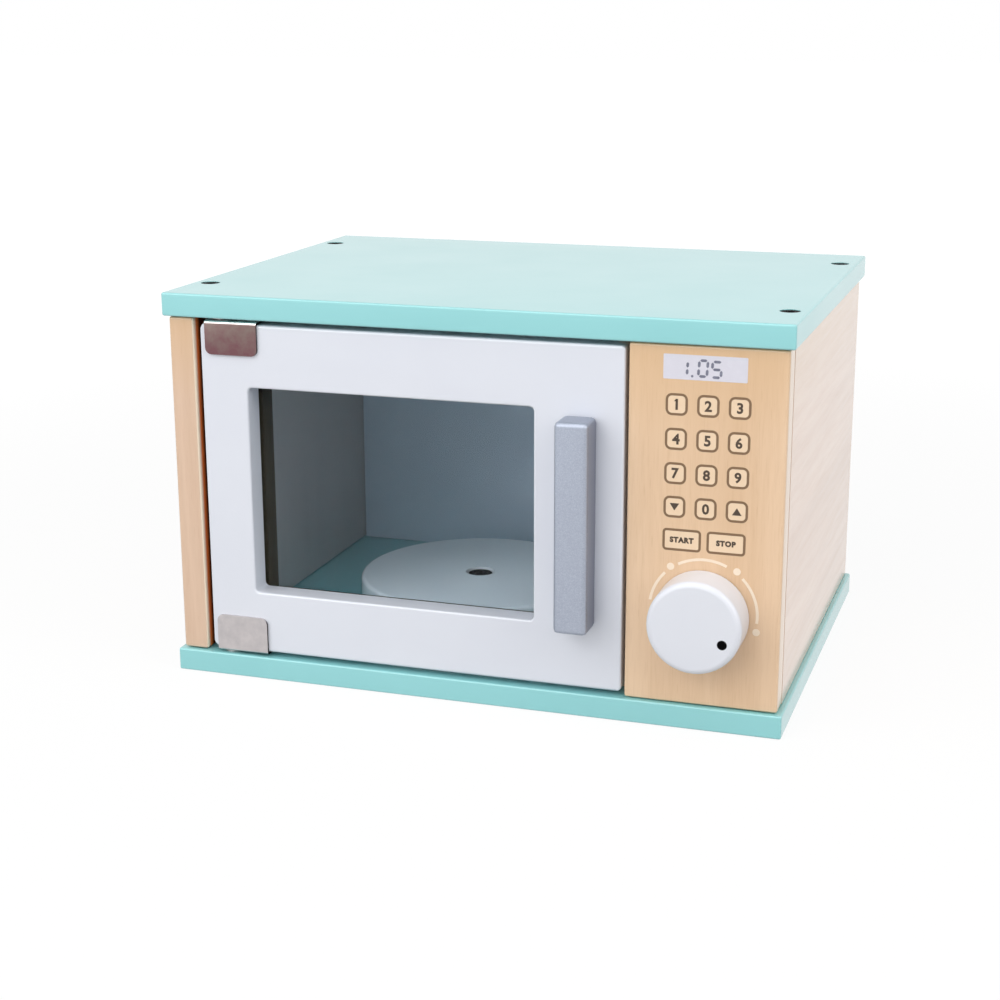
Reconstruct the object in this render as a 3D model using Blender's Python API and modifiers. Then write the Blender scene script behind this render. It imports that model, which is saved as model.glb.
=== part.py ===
"""A toy microwave: a wooden case with a hinged window door, a turning knob and a turntable.

X runs to the right, Y to the back and Z up, in metres, from the middle of the base's underside.
"""

import math

import bmesh
import bpy
from mathutils import Matrix, Vector

# Case
CASE_WIDTH = 0.215
CASE_DEPTH = 0.160
CASE_HEIGHT = 0.135
BOARD_THICKNESS = 0.008
BOARD_SIDE_OVERHANG = 0.0018
BOARD_END_OVERHANG = 0.0015
BOARD_EDGE_RADIUS = 0.0007
WALL_THICKNESS = 0.009
WALL_EDGE_RADIUS = 0.0008
FRONT_THICKNESS = 0.009
CONTROL_WIDTH = 0.0507

# Clearances
JOINT_GAP = 0.0003
SCREW_FIT = 0.0001
RUNNING_FIT = 0.00006
CUT_OVERRUN = 0.001
WELD_DISTANCE = 0.000002

# Door
DOOR_HINGE_GAP = 0.0025
DOOR_FREE_GAP = 0.0011
DOOR_END_GAP = 0.0017
DOOR_HINGE_CORNER_RADIUS = 0.0025
DOOR_FREE_CORNER_RADIUS = 0.0015
DOOR_EDGE_RADIUS = 0.0008
WINDOW_HINGE_MARGIN = 0.017
WINDOW_FREE_MARGIN = 0.0302
WINDOW_RAIL = 0.02165
WINDOW_CORNER_RADIUS = 0.0015

# Pane and the four beads that hold it from behind
PANE_THICKNESS = 0.002
PANE_SIDE_MARGIN = 0.005
PANE_END_MARGIN = 0.006
BEAD_WIDTH = 0.008
BEAD_DEPTH = 0.01
LEVEL_BEAD_SETBACK = 0.0035

# Handle
HANDLE_WIDTH = 0.0112
HANDLE_LENGTH = 0.0702
HANDLE_DEPTH = 0.0118
HANDLE_EDGE_RADIUS = 0.0015
HANDLE_INSET = 0.0144
HANDLE_DROP = 0.0005
HANDLE_SCREW_INSET = 0.0111
HANDLE_SCREW_BITE = 0.007

# Hinge clips, pins and bushes
PIVOT_INSET = 0.006
CLIP_METAL = 0.0008
CLIP_FIT = 0.0001
CLIP_INSET = 0.0022
CLIP_WIDTH = 0.019
UPPER_CLIP_HEIGHT = 0.0115
LOWER_CLIP_HEIGHT = 0.0132
CLIP_CORNER_RADIUS = 0.0022
CLIP_BEND_RADIUS = 0.0011
PIN_RADIUS = 0.0015
PIN_HEAD_RADIUS = 0.0025
PIN_HEAD_HEIGHT = 0.0013
PIN_REACH = 0.0048
BUSH_WALL = 0.001
BUSH_LENGTH = 0.0054
BUSH_FLANGE_RADIUS = 0.0036
BUSH_FLANGE_HEIGHT = 0.0004
CLIP_SCREW_BITE = 0.006

# Door catch
STOP_OVERLAP = 0.0045
CATCH_RADIUS = 0.0015
MAGNET_LENGTH = 0.003
STRIKE_LENGTH = 0.0015

# Knob, held from behind by a screw and a washer
KNOB_RADIUS = 0.0154
KNOB_HEIGHT = 0.0133
KNOB_EDGE_RADIUS = 0.002
KNOB_RISE = 0.0309
KNOB_SCREW_BITE = 0.009
KNOB_WASHER_RADIUS = 0.0045
KNOB_WASHER_THICKNESS = 0.0008

# Turntable, on a washer and round a screw in the base
TURNTABLE_LEFT_SHIFT = 0.0212
TURNTABLE_RADIUS = 0.045
TURNTABLE_THICKNESS = 0.011
TURNTABLE_EDGE_RADIUS = 0.0015
TURNTABLE_RECESS_RADIUS = 0.0055
TURNTABLE_RECESS_DEPTH = 0.0034
TURNTABLE_WASHER_RADIUS = 0.008
TURNTABLE_WASHER_THICKNESS = 0.0012
TURNTABLE_SCREW_BITE = 0.006

# Case screws, four from above and four from below
CASE_SCREW_END_INSET = 0.0247
CASE_SCREW_SIDE_INSET = 0.0063
CASE_SCREW_SINK = 0.0002
CASE_SCREW_BITE = 0.018

# Screw sizes
CASE_SCREW_RADIUS = 0.0016
CASE_SCREW_HEAD_RADIUS = 0.0033
CASE_SCREW_HEAD_HEIGHT = 0.003
TURNTABLE_SCREW_RADIUS = 0.002
TURNTABLE_SCREW_HEAD_RADIUS = 0.0045
TURNTABLE_SCREW_HEAD_HEIGHT = 0.0024
KNOB_SCREW_RADIUS = 0.00175
KNOB_SCREW_HEAD_RADIUS = 0.0035
KNOB_SCREW_HEAD_HEIGHT = 0.0024
HANDLE_SCREW_RADIUS = 0.0015
HANDLE_SCREW_HEAD_RADIUS = 0.003
HANDLE_SCREW_HEAD_HEIGHT = 0.002
CLIP_SCREW_RADIUS = 0.0011
CLIP_SCREW_HEAD_RADIUS = 0.0022
CLIP_SCREW_HEAD_HEIGHT = 0.0015
SCREW_TIP_SHARE = 1.6
SOCKET_RADIUS_SHARE = 0.52
SOCKET_DEPTH_SHARE = 0.6
CROSS_BAR_SHARE = 0.25

# How finely rounds are divided
SCREW_SIDES = 20
PIN_SIDES = 32
KNOB_SIDES = 48
TURNTABLE_SIDES = 64
SOCKET_SIDES = 6
EDGE_STEPS = 2
KNOB_EDGE_STEPS = 4
TURNTABLE_UPPER_STEPS = 3
TURNTABLE_LOWER_STEPS = 2
CORNER_STEPS = 5
ROUND_PROFILE = 0.5
SMOOTH_ANGLE = math.radians(35)

# Faces and places that the pieces share
WALL_OUTER = CASE_WIDTH / 2 - BOARD_SIDE_OVERHANG
WALL_INNER = WALL_OUTER - WALL_THICKNESS
FRONT_Y = BOARD_END_OVERHANG - CASE_DEPTH / 2
FRONT_BACK_Y = FRONT_Y + FRONT_THICKNESS
STOP_Y = FRONT_BACK_Y + JOINT_GAP
BACK_Y = CASE_DEPTH / 2 - BOARD_END_OVERHANG
CAVITY_BACK_Y = BACK_Y - WALL_THICKNESS
FLOOR_Z = BOARD_THICKNESS
CEILING_Z = CASE_HEIGHT - BOARD_THICKNESS
WALL_LOW = FLOOR_Z + JOINT_GAP
WALL_HIGH = CEILING_Z - JOINT_GAP
CONTROL_LEFT = WALL_OUTER - CONTROL_WIDTH
DOOR_LEFT = DOOR_HINGE_GAP - WALL_INNER
DOOR_RIGHT = CONTROL_LEFT - DOOR_FREE_GAP
DOOR_LOW = FLOOR_Z + DOOR_END_GAP
DOOR_HIGH = CEILING_Z - DOOR_END_GAP
DOOR_MIDDLE_Z = (DOOR_LOW + DOOR_HIGH) / 2
PARTITION_LEFT = DOOR_RIGHT - STOP_OVERLAP
WINDOW_LEFT = DOOR_LEFT + WINDOW_HINGE_MARGIN
WINDOW_RIGHT = DOOR_RIGHT - WINDOW_FREE_MARGIN
WINDOW_LOW = DOOR_LOW + WINDOW_RAIL
WINDOW_HIGH = DOOR_HIGH - WINDOW_RAIL
PANE_FRONT_Y = STOP_Y
PANE_BACK_Y = PANE_FRONT_Y + PANE_THICKNESS
PIVOT_X = DOOR_LEFT + PIVOT_INSET
PIVOT_Y = (FRONT_Y + FRONT_BACK_Y) / 2
CLIP_MIDDLE_X = DOOR_LEFT + CLIP_INSET + CLIP_WIDTH / 2
CLIP_BACK_Y = FRONT_BACK_Y + CLIP_FIT + CLIP_METAL
BUSH_RADIUS = PIN_RADIUS + RUNNING_FIT + BUSH_WALL
HANDLE_X = DOOR_RIGHT - HANDLE_INSET
HANDLE_BACK_Y = FRONT_Y - JOINT_GAP
CATCH_X = DOOR_RIGHT - STOP_OVERLAP / 2
KNOB_X = (CONTROL_LEFT + WALL_OUTER) / 2
KNOB_Z = FLOOR_Z + KNOB_RISE
KNOB_BACK_Y = FRONT_Y - JOINT_GAP
TURNTABLE_X = -TURNTABLE_LEFT_SHIFT
TURNTABLE_LOW = FLOOR_Z + JOINT_GAP + TURNTABLE_WASHER_THICKNESS + JOINT_GAP
TURNTABLE_SEAT_Z = TURNTABLE_LOW + TURNTABLE_THICKNESS - TURNTABLE_RECESS_DEPTH
CASE_SCREW_X = CASE_WIDTH / 2 - CASE_SCREW_SIDE_INSET
CASE_SCREW_Y = CASE_DEPTH / 2 - CASE_SCREW_END_INSET

TURN_TO_FRONT = Matrix.Rotation(math.radians(90), 4, "X")
TURN_TO_BACK = Matrix.Rotation(math.radians(-90), 4, "X")
TURN_OVER = Matrix.Rotation(math.radians(180), 4, "X")
NO_TURN = Matrix.Identity(4)
UP = (0, 0, 1)
DOWN = (0, 0, -1)
TO_FRONT = (0, -1, 0)
TO_BACK = (0, 1, 0)


def clear_scene():
    for item in list(bpy.data.objects):
        bpy.data.objects.remove(item, do_unlink=True)


def new_collection(name):
    collection = bpy.data.collections.new(name)
    bpy.context.scene.collection.children.link(collection)
    return collection


def linear(level):
    """One colour channel from 0 to 255, as light."""
    share = level / 255
    if share <= 0.04045:
        return share / 12.92
    return ((share + 0.055) / 1.055) ** 2.4


def finish(name, red, green, blue, roughness, metallic=0.0, clear=0.0):
    material = bpy.data.materials.new(name)
    material.use_nodes = True
    shader = material.node_tree.nodes["Principled BSDF"]
    shader.inputs["Base Color"].default_value = (linear(red), linear(green), linear(blue), 1)
    shader.inputs["Roughness"].default_value = roughness
    shader.inputs["Metallic"].default_value = metallic
    shader.inputs["Transmission Weight"].default_value = clear
    return material


clear_scene()
PARTS = new_collection("toy_microwave")
CUTTERS = new_collection("cutters")
MINT_PAINT = finish("mint_paint", 158, 218, 216, 0.45)
WHITE_PAINT = finish("white_paint", 224, 228, 234, 0.42)
LIGHT_WOOD = finish("light_wood", 234, 218, 206, 0.6)
PANEL_WOOD = finish("panel_wood", 224, 192, 155, 0.6)
BEAD_WOOD = finish("bead_wood", 62, 49, 24, 0.65)
SILVER_PAINT = finish("silver_paint", 172, 178, 192, 0.38, metallic=0.35)
NICKEL = finish("nickel", 190, 186, 186, 0.25, metallic=1.0)
BLACK_STEEL = finish("black_steel", 34, 34, 36, 0.4, metallic=1.0)
ACRYLIC = finish("grey_acrylic", 120, 130, 138, 0.05, clear=1.0)
BODY_EMPTIES = {}


def joint_empty(name, spot):
    """An empty on a joint's axis, which the pieces that move on it have as their parent."""
    empty = bpy.data.objects.new(name, None)
    empty.location = spot
    empty.hide_render = True
    PARTS.objects.link(empty)
    BODY_EMPTIES[name] = empty


def place(name, mesh, material, location, turn=NO_TURN, moves_with=None):
    """Add a piece at a place in the world, carried by a joint's empty where it moves."""
    piece = bpy.data.objects.new(name, mesh)
    world = Matrix.Translation(Vector(location)) @ turn
    if not mesh.materials:
        mesh.materials.append(material)
    PARTS.objects.link(piece)
    if moves_with:
        parent = BODY_EMPTIES[moves_with]
        piece.parent = parent
        world = Matrix.Translation(-parent.location) @ world
    piece.matrix_local = world
    return piece


def cutter(name, mesh, location, turn=NO_TURN):
    tool = bpy.data.objects.new(name, mesh)
    tool.matrix_local = Matrix.Translation(Vector(location)) @ turn
    tool.hide_render = True
    tool.display_type = "WIRE"
    CUTTERS.objects.link(tool)
    return tool


def cut(piece, tool):
    boolean = piece.modifiers.new(tool.name, "BOOLEAN")
    boolean.operation = "DIFFERENCE"
    boolean.solver = "EXACT"
    boolean.object = tool


def soften(piece, radius):
    bevel = piece.modifiers.new("soft_edges", "BEVEL")
    bevel.width = radius
    bevel.segments = EDGE_STEPS
    bevel.limit_method = "ANGLE"


def mesh_from(bm, name):
    bmesh.ops.recalc_face_normals(bm, faces=bm.faces)
    mesh = bpy.data.meshes.new(name)
    bm.to_mesh(mesh)
    bm.free()
    return mesh


def box_mesh(name, size):
    bm = bmesh.new()
    bmesh.ops.create_cube(bm, size=1)
    bmesh.ops.scale(bm, vec=size, verts=bm.verts)
    return mesh_from(bm, name)


def prism_mesh(name, radius, length, sides):
    """An upright prism or cylinder, centred on its own middle."""
    bm = bmesh.new()
    bmesh.ops.create_cone(
        bm, cap_ends=True, segments=sides, radius1=radius, radius2=radius, depth=length
    )
    return mesh_from(bm, name)


def box_middle(low, high):
    return [(a + b) / 2 for a, b in zip(low, high)]


def box_size(low, high):
    return [b - a for a, b in zip(low, high)]


def board(name, low, high, material, radius, moves_with=None):
    """A flat board between two corners, with soft edges."""
    mesh = box_mesh(name, box_size(low, high))
    piece = place(name, mesh, material, box_middle(low, high), moves_with=moves_with)
    if radius:
        soften(piece, radius)
    return piece


def baked(holder):
    """The mesh of an object with its modifiers applied; the object itself goes."""
    bpy.context.view_layer.update()
    graph = bpy.context.evaluated_depsgraph_get()
    mesh = bpy.data.meshes.new_from_object(holder.evaluated_get(graph))
    bm = bmesh.new()
    bm.from_mesh(mesh)
    bmesh.ops.remove_doubles(bm, verts=bm.verts, dist=WELD_DISTANCE)
    bmesh.ops.recalc_face_normals(bm, faces=bm.faces)
    bm.to_mesh(mesh)
    bm.free()
    mesh.shade_smooth()
    mesh.set_sharp_from_angle(angle=SMOOTH_ANGLE)
    bpy.data.objects.remove(holder, do_unlink=True)
    return mesh


def turned_mesh(name, profile, sides, closed=False):
    """A profile of radius and height turned about Z; a closed profile makes a ring."""
    bm = bmesh.new()
    points = [bm.verts.new((radius, 0, height)) for radius, height in profile]
    for first, second in zip(points, points[1:]):
        bm.edges.new((first, second))
    if closed:
        bm.edges.new((points[-1], points[0]))
    mesh = bpy.data.meshes.new(name)
    bm.to_mesh(mesh)
    bm.free()
    holder = bpy.data.objects.new(name, mesh)
    CUTTERS.objects.link(holder)
    screw = holder.modifiers.new("turn", "SCREW")
    screw.steps = sides
    screw.render_steps = sides
    screw.use_merge_vertices = True
    screw.merge_threshold = WELD_DISTANCE
    return baked(holder)


def arc(middle_x, middle_y, radius, start, end, steps):
    """Points from one angle to another, in degrees, round a middle."""
    points = []
    for step in range(steps + 1):
        angle = math.radians(start + (end - start) * step / steps)
        points.append((middle_x + radius * math.cos(angle), middle_y + radius * math.sin(angle)))
    return points


def rounded_outline(left, low, right, high, left_radius, right_radius):
    return (
        arc(right - right_radius, high - right_radius, right_radius, 0, 90, CORNER_STEPS)
        + arc(left + left_radius, high - left_radius, left_radius, 90, 180, CORNER_STEPS)
        + arc(left + left_radius, low + left_radius, left_radius, 180, 270, CORNER_STEPS)
        + arc(right - right_radius, low + right_radius, right_radius, 270, 360, CORNER_STEPS)
    )


def plate_mesh(name, outlines, thickness, edge_radius=0):
    """Outlines in XY made into a plate across Z, with rounded rims where a radius is given."""
    curve = bpy.data.curves.new(name, "CURVE")
    curve.dimensions = "2D"
    curve.fill_mode = "BOTH"
    curve.extrude = thickness / 2 - edge_radius
    curve.bevel_depth = edge_radius
    curve.bevel_resolution = EDGE_STEPS - 1
    curve.offset = -edge_radius
    for outline in outlines:
        spline = curve.splines.new("POLY")
        spline.points.add(len(outline) - 1)
        for point, (x, y) in zip(spline.points, outline):
            point.co = (x, y, 0, 1)
        spline.use_cyclic_u = True
    holder = bpy.data.objects.new(name, curve)
    CUTTERS.objects.link(holder)
    mesh = baked(holder)
    bpy.data.curves.remove(curve)
    return mesh


def screw_mesh(name, head_radius, head_height, shank_radius, shank_length, hexagon):
    """A screw along Z with its head's seat at zero and its shank below."""
    tip = shank_radius * SCREW_TIP_SHARE
    profile = [
        (0, head_height),
        (head_radius, head_height),
        (head_radius, 0),
        (shank_radius, 0),
        (shank_radius, tip - shank_length),
        (0, -shank_length),
    ]
    holder = bpy.data.objects.new(name, turned_mesh(name, profile, SCREW_SIDES))
    CUTTERS.objects.link(holder)
    depth = head_height * SOCKET_DEPTH_SHARE
    socket_radius = head_radius * SOCKET_RADIUS_SHARE
    height = depth + CUT_OVERRUN
    middle = (0, 0, head_height - depth + height / 2)
    if hexagon:
        socket = prism_mesh(f"{name}_socket", socket_radius, height, SOCKET_SIDES)
        tools = [cutter(f"{name}_socket", socket, middle)]
    else:
        tools = cross_cutters(name, socket_radius, height, middle)
    for tool in tools:
        cut(holder, tool)
    mesh = baked(holder)
    for tool in tools:
        bpy.data.objects.remove(tool, do_unlink=True)
    return mesh


def cross_cutters(name, radius, height, middle):
    """Two crossed bars that cut a driver's cross into a screw head."""
    size = (radius * 2, radius * 2 * CROSS_BAR_SHARE, height)
    tools = []
    for number, angle in enumerate((0, 90)):
        bar_name = f"{name}_cross_{number}"
        turn = Matrix.Rotation(math.radians(angle), 4, "Z")
        tools.append(cutter(bar_name, box_mesh(bar_name, size), middle, turn))
    return tools


def round_hole(piece, name, radius, location, length, sides, turn=NO_TURN):
    """Cut a round hole whose middle is the given place."""
    cut(piece, cutter(name, prism_mesh(name, radius, length, sides), location, turn))


def blind_hole(piece, name, radius, mouth, inward, depth, sides):
    """Cut a round hole from its mouth on a face, a little deeper than what goes into it."""
    length = depth + JOINT_GAP + CUT_OVERRUN
    middle = Vector(mouth) + Vector(inward) * (length / 2 - CUT_OVERRUN)
    turn = TURN_TO_FRONT if inward in (TO_FRONT, TO_BACK) else NO_TURN
    round_hole(piece, name, radius, middle, length, sides, turn)


def cut_case_screw_holes(horizontal_board, level):
    """Counterbored holes over the side walls, from the outer face of the base or the top board."""
    seat = CASE_SCREW_SINK + CASE_SCREW_HEAD_HEIGHT + JOINT_GAP
    recess_radius = CASE_SCREW_HEAD_RADIUS + SCREW_FIT
    hole_radius = CASE_SCREW_RADIUS + SCREW_FIT
    through = BOARD_THICKNESS + CUT_OVERRUN
    profile = [
        (0, CUT_OVERRUN),
        (recess_radius, CUT_OVERRUN),
        (recess_radius, -seat),
        (hole_radius, -seat),
        (hole_radius, -through),
        (0, -through),
    ]
    mesh = turned_mesh(f"{level}_screw_hole", profile, SCREW_SIDES)
    face = CASE_HEIGHT if level == "top" else 0
    turn = NO_TURN if level == "top" else TURN_OVER
    for number, (x, y) in enumerate(case_screw_places(), start=1):
        cut(horizontal_board, cutter(f"{level}_screw_hole_{number}", mesh, (x, y, face), turn))


def case_screw_places():
    return [(side * CASE_SCREW_X, end * CASE_SCREW_Y) for side in (-1, 1) for end in (-1, 1)]


def make_base_board():
    low = (-CASE_WIDTH / 2, -CASE_DEPTH / 2, 0)
    high = (CASE_WIDTH / 2, CASE_DEPTH / 2, BOARD_THICKNESS)
    piece = board("base_board", low, high, MINT_PAINT, BOARD_EDGE_RADIUS)
    cut_case_screw_holes(piece, "base")
    bush_radius = BUSH_RADIUS + SCREW_FIT
    bush_mouth = (PIVOT_X, PIVOT_Y, FLOOR_Z)
    blind_hole(piece, "base_bush_hole", bush_radius, bush_mouth, DOWN, BUSH_LENGTH, PIN_SIDES)
    screw_radius = TURNTABLE_SCREW_RADIUS + SCREW_FIT
    screw_mouth = (TURNTABLE_X, 0, FLOOR_Z)
    depth = TURNTABLE_SCREW_BITE
    blind_hole(piece, "turntable_screw_hole", screw_radius, screw_mouth, DOWN, depth, SCREW_SIDES)


def make_top_board():
    low = (-CASE_WIDTH / 2, -CASE_DEPTH / 2, CEILING_Z)
    high = (CASE_WIDTH / 2, CASE_DEPTH / 2, CASE_HEIGHT)
    piece = board("top_board", low, high, MINT_PAINT, BOARD_EDGE_RADIUS)
    cut_case_screw_holes(piece, "top")
    mouth = (PIVOT_X, PIVOT_Y, CEILING_Z)
    blind_hole(piece, "top_bush_hole", BUSH_RADIUS + SCREW_FIT, mouth, UP, BUSH_LENGTH, PIN_SIDES)


def cut_wall_screw_holes(wall, side):
    """Blind holes in a wall's upper and lower edge for the case screws."""
    radius = CASE_SCREW_RADIUS + SCREW_FIT
    for level, face, inward in (("top", WALL_HIGH, DOWN), ("base", WALL_LOW, UP)):
        for end in (-1, 1):
            name = f"{wall.name}_{level}_hole_{end}"
            mouth = (side * CASE_SCREW_X, end * CASE_SCREW_Y, face)
            blind_hole(wall, name, radius, mouth, inward, CASE_SCREW_BITE, SCREW_SIDES)


def make_side_walls():
    left = board(
        "left_side_wall",
        (-WALL_OUTER, FRONT_Y, WALL_LOW),
        (-WALL_INNER, BACK_Y, WALL_HIGH),
        LIGHT_WOOD,
        WALL_EDGE_RADIUS,
    )
    cut_wall_screw_holes(left, -1)
    right = board(
        "right_side_wall",
        (WALL_INNER, STOP_Y, WALL_LOW),
        (WALL_OUTER, BACK_Y, WALL_HIGH),
        LIGHT_WOOD,
        0,
    )
    cut_wall_screw_holes(right, 1)


def make_back_wall():
    low = (JOINT_GAP - WALL_INNER, CAVITY_BACK_Y, WALL_LOW)
    high = (WALL_INNER - JOINT_GAP, BACK_Y, WALL_HIGH)
    board("back_wall", low, high, WHITE_PAINT, 0)


def make_partition():
    """The wall between the oven and the space behind the controls; the door closes on its edge."""
    low = (PARTITION_LEFT, STOP_Y, WALL_LOW)
    high = (PARTITION_LEFT + WALL_THICKNESS, CAVITY_BACK_Y - JOINT_GAP, WALL_HIGH)
    piece = board("partition", low, high, LIGHT_WOOD, 0)
    radius = CATCH_RADIUS + SCREW_FIT
    mouth = (CATCH_X, STOP_Y, DOOR_MIDDLE_Z)
    blind_hole(piece, "magnet_hole", radius, mouth, TO_BACK, MAGNET_LENGTH, SCREW_SIDES)


def make_control_panel():
    low = (CONTROL_LEFT, FRONT_Y, WALL_LOW)
    high = (WALL_OUTER, FRONT_BACK_Y, WALL_HIGH)
    piece = board("control_panel", low, high, PANEL_WOOD, WALL_EDGE_RADIUS)
    length = FRONT_THICKNESS + 2 * CUT_OVERRUN
    middle = (KNOB_X, (FRONT_Y + FRONT_BACK_Y) / 2, KNOB_Z)
    radius = KNOB_SCREW_RADIUS + RUNNING_FIT
    round_hole(piece, "knob_shaft_hole", radius, middle, length, PIN_SIDES, TURN_TO_FRONT)


def make_case_screws():
    mesh = screw_mesh(
        "case_screw",
        CASE_SCREW_HEAD_RADIUS,
        CASE_SCREW_HEAD_HEIGHT,
        CASE_SCREW_RADIUS,
        screw_length_through_board(),
        hexagon=True,
    )
    drop = CASE_SCREW_SINK + CASE_SCREW_HEAD_HEIGHT
    for number, (x, y) in enumerate(case_screw_places(), start=1):
        place(f"top_screw_{number}", mesh, BLACK_STEEL, (x, y, CASE_HEIGHT - drop))
        place(f"base_screw_{number}", mesh, BLACK_STEEL, (x, y, drop), TURN_OVER)


def screw_length_through_board():
    seat = CASE_SCREW_SINK + CASE_SCREW_HEAD_HEIGHT
    return BOARD_THICKNESS - seat + JOINT_GAP + CASE_SCREW_BITE


def make_door_panel():
    """The white door board with its window."""
    corners = (DOOR_HINGE_CORNER_RADIUS, DOOR_FREE_CORNER_RADIUS)
    outer = rounded_outline(DOOR_LEFT, DOOR_LOW, DOOR_RIGHT, DOOR_HIGH, *corners)
    corners = (WINDOW_CORNER_RADIUS, WINDOW_CORNER_RADIUS)
    window = rounded_outline(WINDOW_LEFT, WINDOW_LOW, WINDOW_RIGHT, WINDOW_HIGH, *corners)
    outlines = [[(x - PIVOT_X, z) for x, z in outline] for outline in (outer, window)]
    mesh = plate_mesh("door_panel", outlines, FRONT_THICKNESS, DOOR_EDGE_RADIUS)
    middle = (PIVOT_X, PIVOT_Y, 0)
    piece = place("door_panel", mesh, WHITE_PAINT, middle, TURN_TO_FRONT, "door")
    cut_pin_recesses(piece)
    cut_door_screw_holes(piece)
    radius = CATCH_RADIUS + SCREW_FIT
    mouth = (CATCH_X, FRONT_BACK_Y, DOOR_MIDDLE_Z)
    blind_hole(piece, "strike_hole", radius, mouth, TO_FRONT, STRIKE_LENGTH, SCREW_SIDES)


def cut_pin_recesses(door):
    radius = PIN_HEAD_RADIUS + SCREW_FIT
    for level, face, inward in (("upper", DOOR_HIGH, DOWN), ("lower", DOOR_LOW, UP)):
        mouth = (PIVOT_X, PIVOT_Y, face)
        blind_hole(door, f"{level}_pin_recess", radius, mouth, inward, PIN_HEAD_HEIGHT, PIN_SIDES)


def cut_door_screw_holes(door):
    radius = HANDLE_SCREW_RADIUS + SCREW_FIT
    length = FRONT_THICKNESS + 2 * CUT_OVERRUN
    for name, z in handle_screw_places():
        middle = (HANDLE_X, PIVOT_Y, z)
        round_hole(door, f"{name}_door_hole", radius, middle, length, SCREW_SIDES, TURN_TO_FRONT)
    radius = CLIP_SCREW_RADIUS + SCREW_FIT
    for name, z in clip_screw_places():
        mouth = (CLIP_MIDDLE_X, FRONT_BACK_Y, z)
        blind_hole(door, f"{name}_door_hole", radius, mouth, TO_FRONT, CLIP_SCREW_BITE, SCREW_SIDES)


def handle_screw_places():
    reach = HANDLE_LENGTH / 2 - HANDLE_SCREW_INSET
    middle = DOOR_MIDDLE_Z - HANDLE_DROP
    return [("handle_screw_upper", middle + reach), ("handle_screw_lower", middle - reach)]


def clip_screw_places():
    """One screw in the middle of each clip's rear leaf."""
    web = CLIP_METAL + CLIP_FIT
    upper_z = DOOR_HIGH - (UPPER_CLIP_HEIGHT - web) / 2
    lower_z = DOOR_LOW + (LOWER_CLIP_HEIGHT - web) / 2
    return [("clip_screw_upper", upper_z), ("clip_screw_lower", lower_z)]


def make_pane():
    low = (WINDOW_LEFT - PANE_SIDE_MARGIN, PANE_FRONT_Y, WINDOW_LOW - PANE_END_MARGIN)
    high = (WINDOW_RIGHT + PANE_SIDE_MARGIN, PANE_BACK_Y, WINDOW_HIGH + PANE_END_MARGIN)
    board("door_pane", low, high, ACRYLIC, 0, "door")


def bead_section(setback, pane_margin):
    """A rebated bead: the first coordinate leads away from the window, the second to the back."""
    pane_edge = pane_margin + JOINT_GAP
    back = STOP_Y + BEAD_DEPTH
    pane_face = PANE_BACK_Y + JOINT_GAP
    return [
        (setback, pane_face),
        (pane_edge, pane_face),
        (pane_edge, STOP_Y),
        (BEAD_WIDTH, STOP_Y),
        (BEAD_WIDTH, back),
        (setback, back),
    ]


def make_beads():
    """Upright beads flush with the window's sides, and narrower level ones between them."""
    height = WINDOW_HIGH - WINDOW_LOW + 2 * BEAD_WIDTH
    width = WINDOW_RIGHT - WINDOW_LEFT - 2 * JOINT_GAP
    middle_x = (WINDOW_LEFT + WINDOW_RIGHT) / 2
    section = bead_section(0, PANE_SIDE_MARGIN)
    outward = [(-x, y) for x, y in section]
    upright_left = plate_mesh("bead_left", [outward], height)
    upright_right = plate_mesh("bead_right", [section], height)
    level = plate_mesh("bead_level", [bead_section(LEVEL_BEAD_SETBACK, PANE_END_MARGIN)], width)
    place("bead_left", upright_left, BEAD_WOOD, (WINDOW_LEFT, 0, DOOR_MIDDLE_Z), moves_with="door")
    place("bead_right", upright_right, BEAD_WOOD, (WINDOW_RIGHT, 0, DOOR_MIDDLE_Z), moves_with="door")
    turn_up = Matrix.Rotation(math.radians(-90), 4, "Y")
    turn_down = Matrix.Rotation(math.radians(90), 4, "Y")
    place("bead_top", level, BEAD_WOOD, (middle_x, 0, WINDOW_HIGH), turn_up, "door")
    place("bead_bottom", level, BEAD_WOOD, (middle_x, 0, WINDOW_LOW), turn_down, "door")


def make_handle():
    middle_z = DOOR_MIDDLE_Z - HANDLE_DROP
    low = (HANDLE_X - HANDLE_WIDTH / 2, HANDLE_BACK_Y - HANDLE_DEPTH, middle_z - HANDLE_LENGTH / 2)
    high = (HANDLE_X + HANDLE_WIDTH / 2, HANDLE_BACK_Y, middle_z + HANDLE_LENGTH / 2)
    piece = board("door_handle", low, high, SILVER_PAINT, HANDLE_EDGE_RADIUS, "door")
    radius = HANDLE_SCREW_RADIUS + SCREW_FIT
    depth = HANDLE_SCREW_BITE
    for name, z in handle_screw_places():
        mouth = (HANDLE_X, HANDLE_BACK_Y, z)
        blind_hole(piece, f"{name}_handle_hole", radius, mouth, TO_FRONT, depth, SCREW_SIDES)


def make_handle_screws():
    shank = JOINT_GAP + FRONT_THICKNESS + JOINT_GAP + HANDLE_SCREW_BITE
    mesh = screw_mesh(
        "handle_screw",
        HANDLE_SCREW_HEAD_RADIUS,
        HANDLE_SCREW_HEAD_HEIGHT,
        HANDLE_SCREW_RADIUS,
        shank,
        hexagon=False,
    )
    for name, z in handle_screw_places():
        place(name, mesh, NICKEL, (HANDLE_X, STOP_Y, z), TURN_TO_BACK, "door")


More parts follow.
